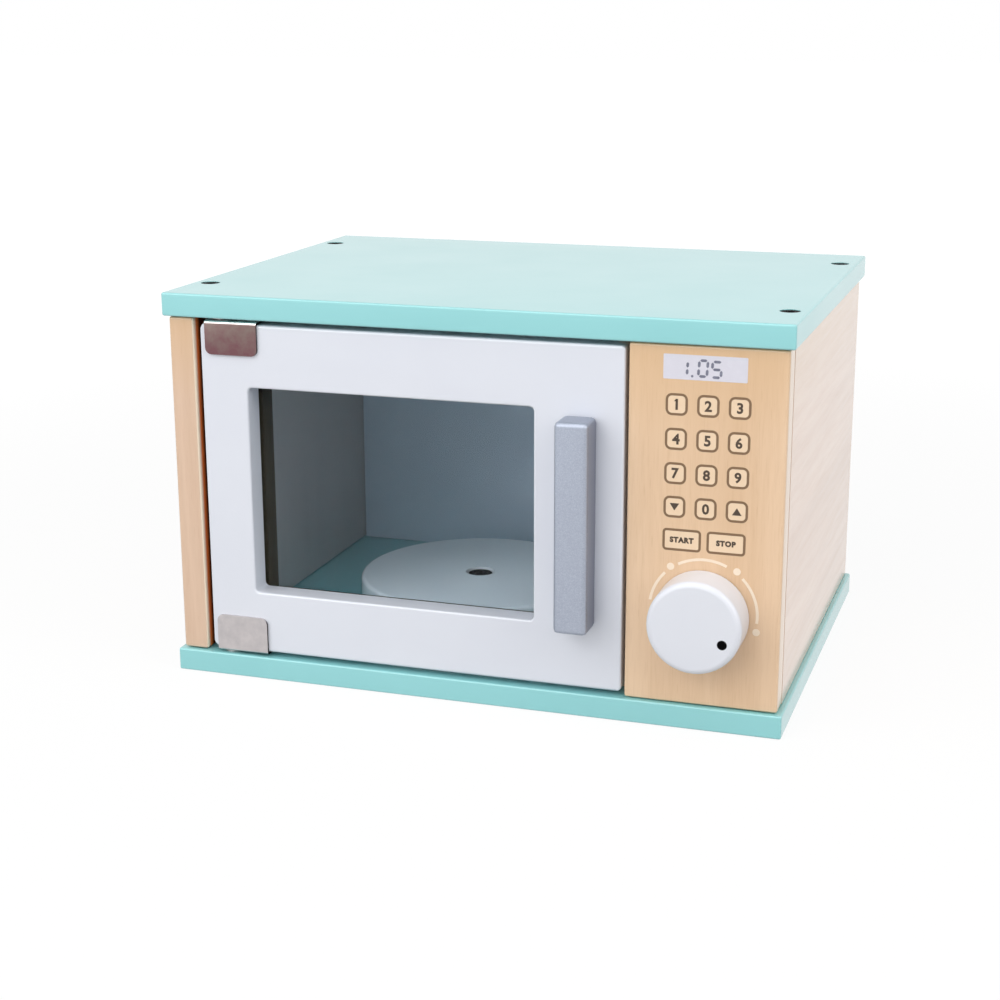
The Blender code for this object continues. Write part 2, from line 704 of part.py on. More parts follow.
def clip_mesh(name, height):
    """A block round the door's edge, its outer face at zero, with its bends and corners rounded."""
    depth = FRONT_THICKNESS + 2 * (CLIP_FIT + CLIP_METAL)
    bm = bmesh.new()
    bmesh.ops.create_cube(bm, size=1)
    bmesh.ops.scale(bm, vec=(CLIP_WIDTH, depth, height), verts=bm.verts)
    bends = [edge for edge in bm.edges if edge_along(edge, "x") and edge_middle(edge).z > 0]
    corners = [edge for edge in bm.edges if edge_along(edge, "y") and edge_middle(edge).z < 0]
    round_edges(bm, bends, CLIP_BEND_RADIUS, EDGE_STEPS)
    round_edges(bm, corners, CLIP_CORNER_RADIUS, CORNER_STEPS)
    bmesh.ops.translate(bm, vec=(0, 0, -height / 2), verts=bm.verts)
    return mesh_from(bm, name)


def round_edges(bm, edges, radius, steps):
    bmesh.ops.bevel(bm, geom=edges, offset=radius, segments=steps, profile=ROUND_PROFILE, affect="EDGES")


def edge_middle(edge):
    return (edge.verts[0].co + edge.verts[1].co) / 2


def edge_along(edge, axis):
    span = edge.verts[0].co - edge.verts[1].co
    return abs(getattr(span, axis)) == max(abs(part) for part in span)


def make_hinge_clips():
    """One clip over each end of the door's hinge edge."""
    (_, upper_z), (_, lower_z) = clip_screw_places()
    web = CLIP_METAL + CLIP_FIT
    make_clip("hinge_clip_upper", UPPER_CLIP_HEIGHT, DOOR_HIGH + web, NO_TURN, upper_z)
    make_clip("hinge_clip_lower", LOWER_CLIP_HEIGHT, DOOR_LOW - web, TURN_OVER, lower_z)


def make_clip(name, height, face, turn, screw_z):
    """A sheet metal U over the door's edge with its outer face at a height, and its two holes."""
    piece = place(name, clip_mesh(name, height), NICKEL, (CLIP_MIDDLE_X, PIVOT_Y, face), turn, "door")
    inward = math.copysign(1, DOOR_MIDDLE_Z - face)
    slot = (CLIP_WIDTH + 2 * CUT_OVERRUN, FRONT_THICKNESS + 2 * CLIP_FIT, height)
    slot_middle = (CLIP_MIDDLE_X, PIVOT_Y, face + inward * (CLIP_METAL + height / 2))
    cut(piece, cutter(f"{name}_slot", box_mesh(f"{name}_slot", slot), slot_middle))
    length = CLIP_METAL + 2 * CUT_OVERRUN
    middle = (PIVOT_X, PIVOT_Y, face + inward * CLIP_METAL / 2)
    round_hole(piece, f"{name}_pin_hole", PIN_RADIUS + SCREW_FIT, middle, length, PIN_SIDES)
    middle = (CLIP_MIDDLE_X, CLIP_BACK_Y - CLIP_METAL / 2, screw_z)
    radius = CLIP_SCREW_RADIUS + SCREW_FIT
    round_hole(piece, f"{name}_screw_hole", radius, middle, length, SCREW_SIDES, TURN_TO_FRONT)


def make_hinge_pins():
    """A headed pin, its head's upper face at zero, held under the clip's web and turning in a bush."""
    shank = CLIP_FIT + CLIP_METAL + clip_to_board() + PIN_REACH
    profile = [
        (0, shank),
        (PIN_RADIUS, shank),
        (PIN_RADIUS, 0),
        (PIN_HEAD_RADIUS, 0),
        (PIN_HEAD_RADIUS, -PIN_HEAD_HEIGHT),
        (0, -PIN_HEAD_HEIGHT),
    ]
    mesh = turned_mesh("hinge_pin", profile, PIN_SIDES)
    place("hinge_pin_upper", mesh, NICKEL, (PIVOT_X, PIVOT_Y, DOOR_HIGH), moves_with="door")
    place("hinge_pin_lower", mesh, NICKEL, (PIVOT_X, PIVOT_Y, DOOR_LOW), TURN_OVER, "door")


def clip_to_board():
    """The free height between a clip's web and the board that its pin turns in."""
    return DOOR_END_GAP - CLIP_FIT - CLIP_METAL


def make_hinge_bushes():
    """A flanged bush in each board, its seat on the board's face at zero, its flange below."""
    bore = PIN_RADIUS + RUNNING_FIT
    profile = [
        (bore, BUSH_LENGTH),
        (BUSH_RADIUS, BUSH_LENGTH),
        (BUSH_RADIUS, 0),
        (BUSH_FLANGE_RADIUS, 0),
        (BUSH_FLANGE_RADIUS, -BUSH_FLANGE_HEIGHT),
        (bore, -BUSH_FLANGE_HEIGHT),
    ]
    mesh = turned_mesh("hinge_bush", profile, PIN_SIDES, closed=True)
    place("hinge_bush_upper", mesh, NICKEL, (PIVOT_X, PIVOT_Y, CEILING_Z - SCREW_FIT / 2))
    place("hinge_bush_lower", mesh, NICKEL, (PIVOT_X, PIVOT_Y, FLOOR_Z + SCREW_FIT / 2), TURN_OVER)


def make_clip_screws():
    mesh = screw_mesh(
        "clip_screw",
        CLIP_SCREW_HEAD_RADIUS,
        CLIP_SCREW_HEAD_HEIGHT,
        CLIP_SCREW_RADIUS,
        SCREW_FIT + CLIP_METAL + CLIP_FIT + CLIP_SCREW_BITE,
        hexagon=False,
    )
    for name, z in clip_screw_places():
        place(name, mesh, NICKEL, (CLIP_MIDDLE_X, CLIP_BACK_Y + SCREW_FIT, z), TURN_TO_BACK, "door")


def make_door_catch():
    """A magnet in the partition's front edge and a steel strike in the door's rear face."""
    magnet = prism_mesh("catch_magnet", CATCH_RADIUS, MAGNET_LENGTH, SCREW_SIDES)
    strike = prism_mesh("door_strike", CATCH_RADIUS, STRIKE_LENGTH, SCREW_SIDES)
    magnet_middle = (CATCH_X, STOP_Y + MAGNET_LENGTH / 2, DOOR_MIDDLE_Z)
    strike_middle = (CATCH_X, FRONT_BACK_Y - STRIKE_LENGTH / 2, DOOR_MIDDLE_Z)
    place("catch_magnet", magnet, NICKEL, magnet_middle, TURN_TO_FRONT)
    place("door_strike", strike, NICKEL, strike_middle, TURN_TO_FRONT, "door")


def make_knob():
    """The white knob, its back at zero and its face at its height, bored for its screw."""
    round_middle = KNOB_RADIUS - KNOB_EDGE_RADIUS
    round_height = KNOB_HEIGHT - KNOB_EDGE_RADIUS
    hole_radius = KNOB_SCREW_RADIUS + SCREW_FIT
    hole_depth = KNOB_SCREW_BITE + JOINT_GAP
    profile = [
        (0, KNOB_HEIGHT),
        *arc(round_middle, round_height, KNOB_EDGE_RADIUS, 90, 0, KNOB_EDGE_STEPS),
        (KNOB_RADIUS, 0),
        (hole_radius, 0),
        (hole_radius, hole_depth),
        (0, hole_depth),
    ]
    mesh = turned_mesh("knob", profile, KNOB_SIDES)
    place("knob", mesh, WHITE_PAINT, (KNOB_X, KNOB_BACK_Y, KNOB_Z), TURN_TO_FRONT, "knob_turn")


def make_knob_screw_and_washer():
    seat_y = STOP_Y + KNOB_WASHER_THICKNESS + JOINT_GAP
    shank = seat_y - KNOB_BACK_Y + KNOB_SCREW_BITE
    screw = screw_mesh(
        "knob_screw",
        KNOB_SCREW_HEAD_RADIUS,
        KNOB_SCREW_HEAD_HEIGHT,
        KNOB_SCREW_RADIUS,
        shank,
        hexagon=False,
    )
    place("knob_screw", screw, NICKEL, (KNOB_X, seat_y, KNOB_Z), TURN_TO_BACK, "knob_turn")
    bore = KNOB_SCREW_RADIUS + SCREW_FIT
    profile = ring_profile(bore, KNOB_WASHER_RADIUS, KNOB_WASHER_THICKNESS)
    washer = turned_mesh("knob_washer", profile, PIN_SIDES, closed=True)
    place("knob_washer", washer, NICKEL, (KNOB_X, STOP_Y, KNOB_Z), TURN_TO_BACK, "knob_turn")


def ring_profile(inner, outer, height):
    return [(inner, height), (outer, height), (outer, 0), (inner, 0)]


def make_turntable():
    """The white plate, its underside at zero, bored and recessed for its screw."""
    bore = TURNTABLE_SCREW_RADIUS + RUNNING_FIT
    seat = TURNTABLE_THICKNESS - TURNTABLE_RECESS_DEPTH
    round_middle = TURNTABLE_RADIUS - TURNTABLE_EDGE_RADIUS
    upper_middle = TURNTABLE_THICKNESS - TURNTABLE_EDGE_RADIUS
    profile = [
        (bore, seat),
        (TURNTABLE_RECESS_RADIUS, seat),
        (TURNTABLE_RECESS_RADIUS, TURNTABLE_THICKNESS),
        *arc(round_middle, upper_middle, TURNTABLE_EDGE_RADIUS, 90, 0, TURNTABLE_UPPER_STEPS),
        *arc(round_middle, TURNTABLE_EDGE_RADIUS, TURNTABLE_EDGE_RADIUS, 0, -90, TURNTABLE_LOWER_STEPS),
        (bore, 0),
    ]
    mesh = turned_mesh("turntable", profile, TURNTABLE_SIDES, closed=True)
    place("turntable", mesh, WHITE_PAINT, (TURNTABLE_X, 0, TURNTABLE_LOW), moves_with="turntable_spin")


def make_turntable_screw_and_washer():
    seat_z = TURNTABLE_SEAT_Z + JOINT_GAP
    screw = screw_mesh(
        "turntable_screw",
        TURNTABLE_SCREW_HEAD_RADIUS,
        TURNTABLE_SCREW_HEAD_HEIGHT,
        TURNTABLE_SCREW_RADIUS,
        seat_z - FLOOR_Z + TURNTABLE_SCREW_BITE,
        hexagon=True,
    )
    place("turntable_screw", screw, BLACK_STEEL, (TURNTABLE_X, 0, seat_z))
    bore = TURNTABLE_SCREW_RADIUS + SCREW_FIT
    profile = ring_profile(bore, TURNTABLE_WASHER_RADIUS, TURNTABLE_WASHER_THICKNESS)
    washer = turned_mesh("turntable_washer", profile, PIN_SIDES, closed=True)
    place("turntable_washer", washer, NICKEL, (TURNTABLE_X, 0, FLOOR_Z + JOINT_GAP))


joint_empty("door", (PIVOT_X, PIVOT_Y, 0))
joint_empty("knob_turn", (KNOB_X, FRONT_Y, KNOB_Z))
joint_empty("turntable_spin", (TURNTABLE_X, 0, FLOOR_Z))
make_base_board()
make_top_board()
make_side_walls()
make_back_wall()
make_partition()
make_control_panel()
make_case_screws()
make_door_panel()
make_pane()
make_beads()
make_handle()
make_handle_screws()
make_hinge_clips()
make_hinge_pins()
make_hinge_bushes()
make_clip_screws()
make_door_catch()
make_knob()
make_knob_screw_and_washer()
make_turntable()
make_turntable_screw_and_washer()
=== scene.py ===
import math

import bmesh
import bpy
from mathutils import Matrix, Vector


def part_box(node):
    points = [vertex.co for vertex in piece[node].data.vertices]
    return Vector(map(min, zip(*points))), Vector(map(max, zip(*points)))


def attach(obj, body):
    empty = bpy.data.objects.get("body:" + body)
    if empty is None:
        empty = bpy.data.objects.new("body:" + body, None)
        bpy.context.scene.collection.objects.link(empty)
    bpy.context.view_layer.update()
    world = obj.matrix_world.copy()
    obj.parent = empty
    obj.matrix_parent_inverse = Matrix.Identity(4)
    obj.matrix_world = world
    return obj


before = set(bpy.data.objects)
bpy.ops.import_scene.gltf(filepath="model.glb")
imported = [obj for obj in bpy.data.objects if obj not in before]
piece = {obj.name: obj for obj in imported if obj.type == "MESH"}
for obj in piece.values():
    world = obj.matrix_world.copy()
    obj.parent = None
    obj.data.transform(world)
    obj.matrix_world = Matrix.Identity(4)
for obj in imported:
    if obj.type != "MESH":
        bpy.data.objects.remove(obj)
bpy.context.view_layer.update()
scene = bpy.context.scene


# Base and top boards
# Two 8 mm boards of solid wood, their edges rounded over with a sanding block. Both are rolled all
# round with mint satin paint and then screwed to the ends of the side walls.

MINT = (144, 208, 210)
MINT_DEEP = (139, 204, 206)
# Pale edges: partly worn paint, partly a painted highlight on the rounded edges.
MINT_PALE_EDGE = (200, 234, 232)
PAINT_COAT = 0.7
PAINT_SHEEN = (0.29, 0.34)
ROLLER_CLOUDS = 32
STIPPLE_GRAIN = 1500
STIPPLE_DEPTH = 0.000006
BOARD_GRAIN = 260
BOARD_DEPTH = 0.00001
PALE_EDGE_PATCHES = 70
EDGE_REACH = 0.0009
EDGE_TURN = (0.985, 0.82)
ALONG_X = (0.05, 1, 1)
SMOOTH_LIMIT = math.radians(50)
WELD_REACH = 0.000001


def tint(card):
    """A paint card's colour, 0 to 255, on the shader's own scale."""
    shares = [value / 255 for value in card]
    return [s / 12.92 if s <= 0.04045 else ((s + 0.055) / 1.055) ** 2.4 for s in shares]


class Finish:
    """A paint, varnish or metal: a shader with its plain values, and the nodes that vary them."""

    def __init__(self, name, card, plain):
        self.material = bpy.data.materials.new(name)
        self.material.use_nodes = True
        self.tree = self.material.node_tree
        self.shader = self.tree.nodes["Principled BSDF"]
        self.shader.inputs["Base Color"].default_value = (*tint(card), 1)
        for socket, value in plain.items():
            self.shader.inputs[socket].default_value = value

    def add(self, kind, inputs=None, **settings):
        step = self.tree.nodes.new("ShaderNode" + kind)
        for name, value in settings.items():
            setattr(step, name, value)
        for socket, value in (inputs or {}).items():
            if isinstance(value, bpy.types.NodeSocket):
                self.tree.links.new(value, step.inputs[socket])
            else:
                step.inputs[socket].default_value = value
        return step

    def place(self, stretch=(1, 1, 1)):
        """The piece's own coordinates, squeezed along the axes with a stretch below one."""
        spot = self.add("TexCoord").outputs["Object"]
        return self.add("Mapping", {"Vector": spot, "Scale": stretch}).outputs[0]

    def run(self, axis):
        """How far along an axis the spot lies, in the piece's own coordinates."""
        return self.add("SeparateXYZ", {0: self.add("TexCoord").outputs["Object"]}).outputs[axis]

    def cloud(self, place, scale, detail=3, rough=0.5, swirl=0):
        """Soft blotches about 1/scale metres across, from 0 to 1."""
        inputs = {"Vector": place, "Scale": scale, "Detail": detail}
        inputs.update({"Roughness": rough, "Distortion": swirl})
        return self.add("TexNoise", inputs).outputs[0]

    def spread(self, value, low, high, start=0.0, end=1.0):
        """The value between low and high, drawn out to run from start to end."""
        inputs = {0: value, 1: low, 2: high, 3: start, 4: end}
        return self.add("MapRange", inputs).outputs[0]

    def join(self, way, first, second):
        return self.add("Math", {0: first, 1: second}, operation=way).outputs[0]

    def lay(self, share, under, over):
        """One colour laid over another by a share from 0 to 1."""
        inputs = {0: share}
        for socket, colour in ((6, under), (7, over)):
            plain = not isinstance(colour, bpy.types.NodeSocket)
            inputs[socket] = (*tint(colour), 1) if plain else colour
        return self.add("Mix", inputs, data_type="RGBA").outputs[2]

    def facing(self, direction, start=0.75, end=0.95):
        """1 where the piece's own face looks that way, rising from a start further off to an end."""
        normal = self.add("TexCoord").outputs["Normal"]
        turned = self.add("VectorMath", {0: normal, 1: direction}, operation="DOT_PRODUCT").outputs["Value"]
        return self.spread(turned, start, end)

    def edges(self, reach):
        """1 along the edges, over that reach to both sides."""
        soft = self.add("Bevel", {"Radius": reach}, samples=6).outputs[0]
        hard = self.add("NewGeometry").outputs["Normal"]
        turned = self.add("VectorMath", {0: soft, 1: hard}, operation="DOT_PRODUCT").outputs["Value"]
        return self.spread(turned, *EDGE_TURN)

    def relief(self, height, depth, strength=1.0, under=None):
        """The surface raised by up to that depth, on top of an earlier relief."""
        inputs = {"Height": height, "Distance": depth, "Strength": strength}
        if under is not None:
            inputs["Normal"] = under
        return self.add("Bump", inputs).outputs[0]

    def apply(self, **outputs):
        for socket, output in outputs.items():
            self.tree.links.new(output, self.shader.inputs[socket.replace("_", " ")])


def rolled_paint(name, card, deep, thin, worn=(0.15, 0.4), coat=PAINT_COAT, mark=None):
    """Satin paint from a foam roller: faint clouds, a fine stipple, pale edges and a matt mark."""
    film = {"Roughness": 0.3, "IOR": 1.5, "Coat Weight": coat, "Coat Roughness": 0.15}
    paint = Finish(name, card, film)
    spot = paint.place()
    clouds = paint.cloud(spot, ROLLER_CLOUDS, detail=2, rough=0.45)
    stipple = paint.cloud(spot, STIPPLE_GRAIN, detail=2)
    board = paint.cloud(paint.place(ALONG_X), BOARD_GRAIN, detail=4, rough=0.6)
    colour = paint.lay(paint.spread(clouds, 0.2, 0.8), card, deep)
    # Pale edges: partly worn paint, partly a painted highlight along the rounded edges.
    patches = paint.spread(paint.cloud(spot, PALE_EDGE_PATCHES), 0.3, 0.7, *worn)
    colour = paint.lay(paint.join("MULTIPLY", paint.edges(EDGE_REACH), patches), colour, thin)
    if mark:
        inside, ink = mark(paint)
        colour = paint.lay(inside, colour, ink)
        paint.apply(
            Coat_Weight=paint.spread(inside, 0.0, 1.0, coat, 0.0),
            Specular_IOR_Level=paint.spread(inside, 0.0, 1.0, 0.5, 0.0),
        )
    normal = paint.relief(board, BOARD_DEPTH, 0.35)
    normal = paint.relief(stipple, STIPPLE_DEPTH, 0.4, normal)
    sheen = paint.spread(clouds, 0.2, 0.8, *PAINT_SHEEN)
    paint.apply(Base_Color=colour, Roughness=sheen, Normal=normal)
    return paint.material


def ease_group():
    """Joins the faces of a solid and shades its rounded edges as one smooth turn."""
    group = bpy.data.node_groups.new("eased_edges", "GeometryNodeTree")
    group.interface.new_socket("Geometry", in_out="INPUT", socket_type="NodeSocketGeometry")
    group.interface.new_socket("Geometry", in_out="OUTPUT", socket_type="NodeSocketGeometry")
    start = group.nodes.new("NodeGroupInput")
    weld = group.nodes.new("GeometryNodeMergeByDistance")
    weld.inputs["Distance"].default_value = WELD_REACH
    angle = group.nodes.new("GeometryNodeInputMeshEdgeAngle")
    sharp = group.nodes.new("FunctionNodeCompare")
    sharp.inputs[1].default_value = SMOOTH_LIMIT
    shade = group.nodes.new("GeometryNodeSetMeshNormal")
    end = group.nodes.new("NodeGroupOutput")
    group.links.new(start.outputs[0], weld.inputs[0])
    group.links.new(angle.outputs[0], sharp.inputs[0])
    group.links.new(weld.outputs[0], shade.inputs["Mesh"])
    group.links.new(sharp.outputs[0], shade.inputs["Edge Sharpness"])
    group.links.new(shade.outputs[0], end.inputs[0])
    return group


EASED = ease_group()


def finish_piece(name, material):
    """Gives a solid its finish, with its rounded edges shaded smoothly."""
    solid = piece[name]
    solid.data.materials.clear()
    solid.data.materials.append(material)
    solid.modifiers.new("eased", "NODES").node_group = EASED
    level = solid.modifiers.new("level", "WEIGHTED_NORMAL")
    level.keep_sharp = True
    level.weight = 100


finish_piece("base_board", rolled_paint("mint_paint_base", MINT, MINT_DEEP, MINT_PALE_EDGE))
finish_piece("top_board", rolled_paint("mint_paint_top", MINT, MINT_DEEP, MINT_PALE_EDGE))


# Side walls and partition
# Planed boards of pale basswood, clear varnished. The left wall and the partition, which stands
# behind the controls, are rolled white towards the oven. All stand between the base and top boards.

SIDE_PALE = (228, 191, 165)
SIDE_DARK = (213, 173, 145)
SIDE_FLECK = (190, 148, 120)
LEFT_PALE = (220, 189, 163)
LEFT_DARK = (205, 172, 144)
# Pale edges: partly sanding, partly a painted highlight on the rounded edges.
SANDED_AND_LIT_EDGE = (246, 228, 206)
SANDED_AND_LIT_REACH = 0.0012
INSIDE_WHITE = (200, 188, 184)
INSIDE_DULL = (192, 181, 178)
# Painted light and shade on the inner face in the gap beside the door: cream at the front, then brown, then
# near black.
GAP_LIT_CREAM = (255, 240, 216)
GAP_SHADE_BROWN = (238, 124, 64)
GAP_SHADE_DARK = (84, 40, 20)
WALL_FRONT = -0.0785
OVEN_MOUTH = -0.0692
VARNISH = 0.9
# Darker and warmer towards the top: painted shade under the top board.
TOP_SHADE_WARM = (210, 171, 124)
TOP_SHADE_HEIGHTS = (0.098, 0.127)
ALONG_Y = (1, 0.055, 1)
ALONG_Z = (1, 1, 0.05)
BROAD_FIGURE = 60
GROWTH_LINES = 380
LINE_DEPTH = 0.00002
FIBRES = 2400
FIBRE_DEPTH = 0.00001
CELLS = 620
CELL_SHORTENING = 2.2
CELL_EDGE = (0.16, 0.08)
VARNISH_SHEEN = (0.29, 0.4)
RAW_SHEEN = (0.6, 0.75)
GAP_LIT_END = (0.0012, 0.0026)
GAP_SHADE_END = (0.003, 0.0048)
MASK_EDGE = 0.0004


def planed_wood(name, pale, dark, fleck, along, varnish=VARNISH, painted=None):
    """Planed wood, varnished or raw: a broad soft figure, growth lines, fine fibres and dark flecks."""
    film = {"Roughness": 0.32, "IOR": 1.5, "Coat Weight": varnish, "Coat Roughness": 0.12}
    wood = Finish(name, pale, film)
    spot = wood.place(along)
    figure = wood.cloud(spot, BROAD_FIGURE, detail=3, swirl=0.7)
    lines = wood.cloud(spot, GROWTH_LINES, detail=5, rough=0.62, swirl=0.25)
    fibres = wood.cloud(spot, FIBRES, detail=2)
    short = wood.place([share * (1 if share == 1 else CELL_SHORTENING) for share in along])
    cells = wood.add("TexVoronoi", {"Vector": short, "Scale": CELLS})
    flecks = wood.spread(cells.outputs[0], *CELL_EDGE, 0.0, 0.16)
    colour = wood.lay(wood.spread(figure, 0.34, 0.68), pale, dark)
    colour = wood.lay(wood.spread(lines, 0.46, 0.72, 0.0, 0.45), colour, dark)
    colour = wood.lay(wood.spread(fibres, 0.5, 0.8, 0.0, 0.18), colour, fleck)
    colour = wood.lay(flecks, colour, fleck)
    if varnish:
        # Painted shade: darker and warmer towards the top, under the top board.
        colour = wood.lay(wood.spread(wood.run("Z"), *TOP_SHADE_HEIGHTS, 0.0, 0.6), colour, TOP_SHADE_WARM)
        # Pale edges: partly sanding, partly a painted highlight on the rounded edges.
        sanded_and_lit = wood.join("MULTIPLY", wood.edges(SANDED_AND_LIT_REACH), wood.spread(figure, 0.3, 0.7, 0.5, 0.9))
        colour = wood.lay(sanded_and_lit, colour, SANDED_AND_LIT_EDGE)
    if painted:
        colour, inner, raw = painted(wood, colour, figure)
        bare = wood.join("SUBTRACT", 1.0, inner)
        lines, fibres = wood.join("MULTIPLY", lines, bare), wood.join("MULTIPLY", fibres, bare)
        wood.apply(
            Coat_Weight=wood.spread(inner, 0.0, 1.0, varnish, 0.0),
            Specular_IOR_Level=wood.spread(raw, 0.0, 1.0, 0.5, 0.0),
        )
    normal = wood.relief(lines, LINE_DEPTH, 0.5)
    normal = wood.relief(fibres, FIBRE_DEPTH, 0.6, normal)
    sheen = wood.spread(lines, 0.3, 0.7, *(VARNISH_SHEEN if varnish else RAW_SHEEN))
    wood.apply(Base_Color=colour, Roughness=sheen, Normal=normal)
    return wood.material


def oven_side(across):
    """Towards the oven: a strip of painted light and shade beside the door, then white paint."""

    def layers(wood, colour, figure):
        depth = wood.run("Y")
        inner = wood.facing((across, 0, 0), 0.4, 0.8)
        white = wood.join("MULTIPLY", inner, wood.spread(depth, OVEN_MOUTH, OVEN_MOUTH + MASK_EDGE))
        # Painted light and shade in the door gap: cream at the front edge, then brown and near black
        # further in.
        brown = [WALL_FRONT + way_in for way_in in GAP_SHADE_END]
        cream = [WALL_FRONT + way_in for way_in in GAP_LIT_END]
        shade = wood.lay(wood.spread(depth, *brown), GAP_SHADE_BROWN, GAP_SHADE_DARK)
        shade = wood.lay(wood.spread(depth, *cream), GAP_LIT_CREAM, shade)
        colour = wood.lay(inner, colour, shade)
        paint = wood.lay(wood.spread(figure, 0.3, 0.7), INSIDE_WHITE, INSIDE_DULL)
        colour = wood.lay(white, colour, paint)
        return colour, inner, wood.join("SUBTRACT", inner, white)

    return layers


side_wood = (SIDE_PALE, SIDE_DARK, SIDE_FLECK)
left_wood = (LEFT_PALE, LEFT_DARK, SIDE_FLECK)
finish_piece("left_side_wall", planed_wood("left_wall_wood", *left_wood, ALONG_Z, painted=oven_side(1)))
finish_piece("right_side_wall", planed_wood("right_wall_wood", *side_wood, ALONG_Y))
finish_piece("partition", planed_wood("partition_wood", *side_wood, ALONG_Z, painted=oven_side(-1)))


# Back wall
# A board let in between the side walls. It is rolled white on both sides, so the oven looks light
# from the front, and its grain still shows faintly through the paint.

WHITE_COOL = (209, 218, 229)
WHITE_COOL_DEEP = (203, 213, 224)
WHITE_COOL_THIN = (228, 230, 232)

finish_piece("back_wall", rolled_paint("back_wall_paint", WHITE_COOL, WHITE_COOL_DEEP, WHITE_COOL_THIN))


# Case screws
# Eight socket screws of blackened steel hold the walls between the boards, four from above and four
# from below. Their heads sit a little below the paint, in round recesses.

BLACK_STEEL = (26, 25, 27)
STEEL_BROWNED = (48, 43, 40)
STEEL_RUBBED = (70, 67, 66)
STEEL_SHEEN = (0.5, 0.7)
STEEL_PATCHES = 700
STEEL_GRAIN = 3200
STEEL_DEPTH = 0.00002
STEEL_EDGE = 0.00035


def black_steel(name):
    """Blackened steel, rubbed to a dull grey where the key and the fingers touch it."""
    steel = Finish(name, BLACK_STEEL, {"Metallic": 0.0, "Roughness": 0.6, "IOR": 1.12})
    spot = steel.place()
    clouds = steel.cloud(spot, STEEL_PATCHES, detail=4)
    patches = steel.spread(clouds, 0.35, 0.65, 0.15, 0.9)
    rubbed = steel.join("MULTIPLY", steel.edges(STEEL_EDGE), patches)
    colour = steel.lay(steel.spread(clouds, 0.4, 0.7, 0.0, 0.25), BLACK_STEEL, STEEL_BROWNED)
    steel.apply(
        Base_Color=steel.lay(rubbed, colour, STEEL_RUBBED),
        Roughness=steel.spread(clouds, 0.3, 0.7, *STEEL_SHEEN),
        Normal=steel.relief(steel.cloud(spot, STEEL_GRAIN, detail=2), STEEL_DEPTH, 0.4),
    )
    return steel.material


case_screw_steel = black_steel("black_steel")
for end in ("top", "base"):
    for number in (1, 2, 3, 4):
        finish_piece(f"{end}_screw_{number}", case_screw_steel)


# Control panel
# A 9 mm board of warmer wood, grain upright, clear varnished and glued to the front of the right
# wall and the partition. All its markings are screen printed on the varnish.

PANEL_PALE = (230, 197, 162)
PANEL_DARK = (216, 180, 142)
PANEL_FLECK = (184, 140, 100)

finish_piece("control_panel", planed_wood("panel_wood", PANEL_PALE, PANEL_DARK, PANEL_FLECK, ALONG_Z))


# Printed display
# A pale lavender patch with the time 1.05 in broken grey-blue bars, as on a clock radio. Both are
# screen printed, the bars over the patch.

PANEL_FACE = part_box("control_panel")[0].y
INK_ROOT = 0.00003
LABEL_RISE = 0.00004
BAR_RISE = 0.00008
LABEL = (0.0661, 0.1158, 0.0927, 0.1237)
LABEL_CORNER = 0.0003
BAR_WIDTH = 0.00085
BAR_GAP = 0.00022
DIGIT_LEAN = 0.06
LABEL_LAVENDER = (213, 211, 221)
LABEL_FADED = (219, 218, 227)
LABEL_SHEEN = 0.36
BAR_GREY = (112, 114, 130)
BAR_FADED = (150, 152, 168)
INK_PATCHES = 420
INK_WEAVE = 4200
INK_DEPTH = 0.00001


def screen_ink(name, card, faded, rough=0.5):
    """Screen ink: a thin matt film, slightly uneven and worn to a paler tone in spots."""
    ink = Finish(name, card, {"Roughness": rough, "IOR": 1.45})
    spot = ink.place()
    clouds = ink.cloud(spot, INK_PATCHES, detail=4, rough=0.65)
    weave = ink.cloud(spot, INK_WEAVE, detail=1)
    ink.apply(
        Base_Color=ink.lay(ink.spread(clouds, 0.45, 0.75, 0.0, 0.6), card, faded),
        Roughness=ink.spread(clouds, 0.3, 0.7, rough - 0.08, rough + 0.1),
        Normal=ink.relief(weave, INK_DEPTH, 0.4),
    )
    return ink.material


def slab(print_mesh, outline, rise):
    """A flat printed shape: outline in x and z, standing that far out of the panel."""
    rows = []
    for depth in (PANEL_FACE + INK_ROOT, PANEL_FACE - rise):
        rows.append([print_mesh.verts.new((x, depth, z)) for x, z in outline])
    back, front = rows
    count = len(outline)
    print_mesh.faces.new(back)
    print_mesh.faces.new(front[::-1])
    for i in range(count):
        j = (i + 1) % count
        print_mesh.faces.new((back[j], back[i], front[i], front[j]))


def rounded_box(left, low, right, high, corner, steps=5):
    """The outline of a box with rounded corners, anticlockwise."""
    outline = []
    middles = ((right - corner, high - corner), (left + corner, high - corner),
               (left + corner, low + corner), (right - corner, low + corner))
    for quarter, (x, z) in enumerate(middles):
        for i in range(steps + 1):
            angle = math.radians(90 * (quarter + i / steps))
            outline.append((x + corner * math.cos(angle), z + corner * math.sin(angle)))
    return outline


def spot_outline(x, z, radius, roundness):
    """The outline of a dot, whose corners take that share of its radius."""
    return rounded_box(x - radius, z - radius, x + radius, z + radius, radius * roundness)


def show_print(name, print_mesh, material):
    """Turns finished print shapes into a piece that rides on the case."""
    bmesh.ops.recalc_face_normals(print_mesh, faces=print_mesh.faces)
    mesh = bpy.data.meshes.new(name)
    print_mesh.to_mesh(mesh)
    print_mesh.free()
    mesh.materials.append(material)
    shown = bpy.data.objects.new(name, mesh)
    scene.collection.objects.link(shown)
    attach(shown, "case")


label = bmesh.new()
slab(label, rounded_box(*LABEL, LABEL_CORNER), LABEL_RISE)
label_ink = screen_ink("label_ink", LABEL_LAVENDER, LABEL_FADED, LABEL_SHEEN)
show_print("display_label", label, label_ink)

